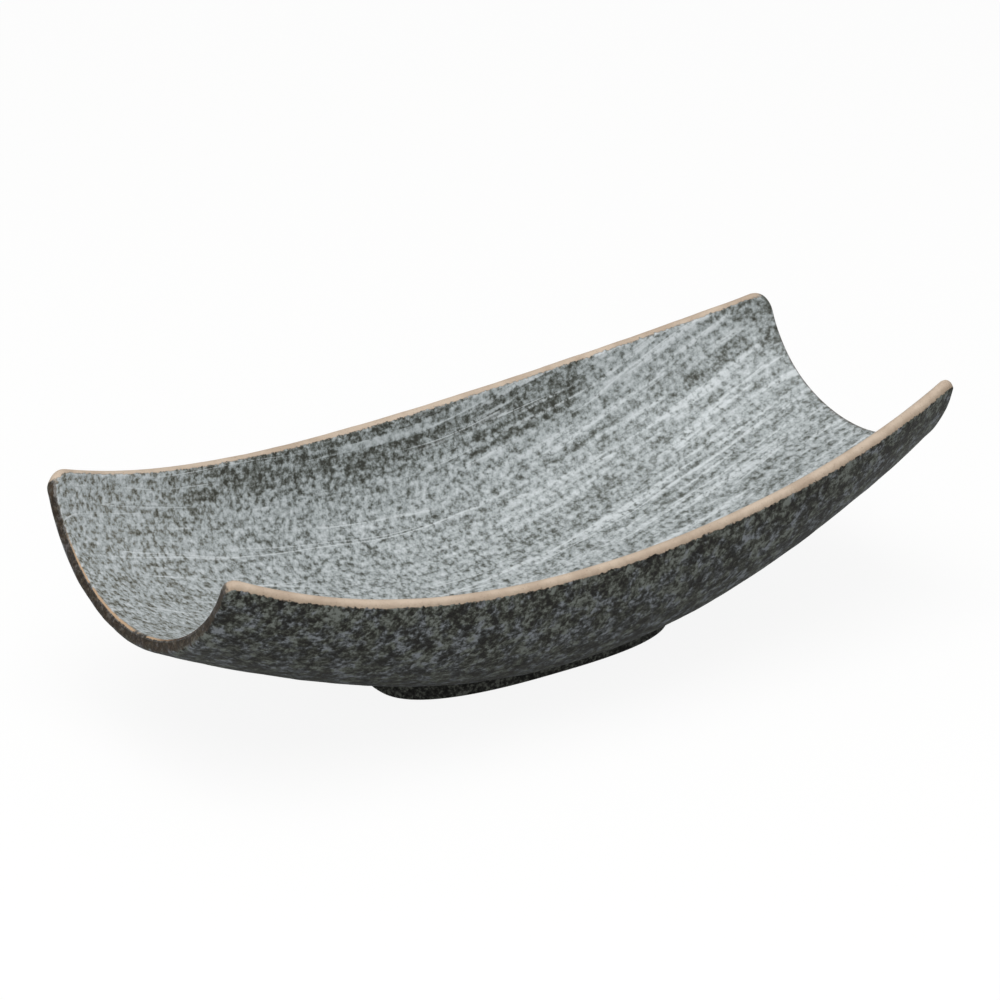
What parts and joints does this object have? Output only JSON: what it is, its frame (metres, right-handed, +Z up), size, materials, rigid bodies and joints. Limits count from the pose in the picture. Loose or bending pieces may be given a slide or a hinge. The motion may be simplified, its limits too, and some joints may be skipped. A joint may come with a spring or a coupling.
{
  "type": "serving dish",
  "caption": "Boat-shaped stoneware serving dish: an open-ended trough with raised ends and curved sides, standing on a low oval foot ring.",
  "frame": {"origin": "centre of the dish's outline, on the table that the foot ring stands on", "axes": "+X along the dish towards its narrower, straighter end, +Y across it, +Z up"},
  "size_m": [0.2874, 0.1432, 0.0809],
  "materials": {
    "glazed_stoneware": "speckled dark glaze with pale slip brushed along the inside, bare tan clay on the two long lips",
    "foot_stoneware": "near-black glaze on the walls, bare tan clay on the resting face"
  },
  "bodies": {
    "root": {"dish_body": "glazed_stoneware", "foot_ring": "foot_stoneware"}
  },
  "joints": []
}
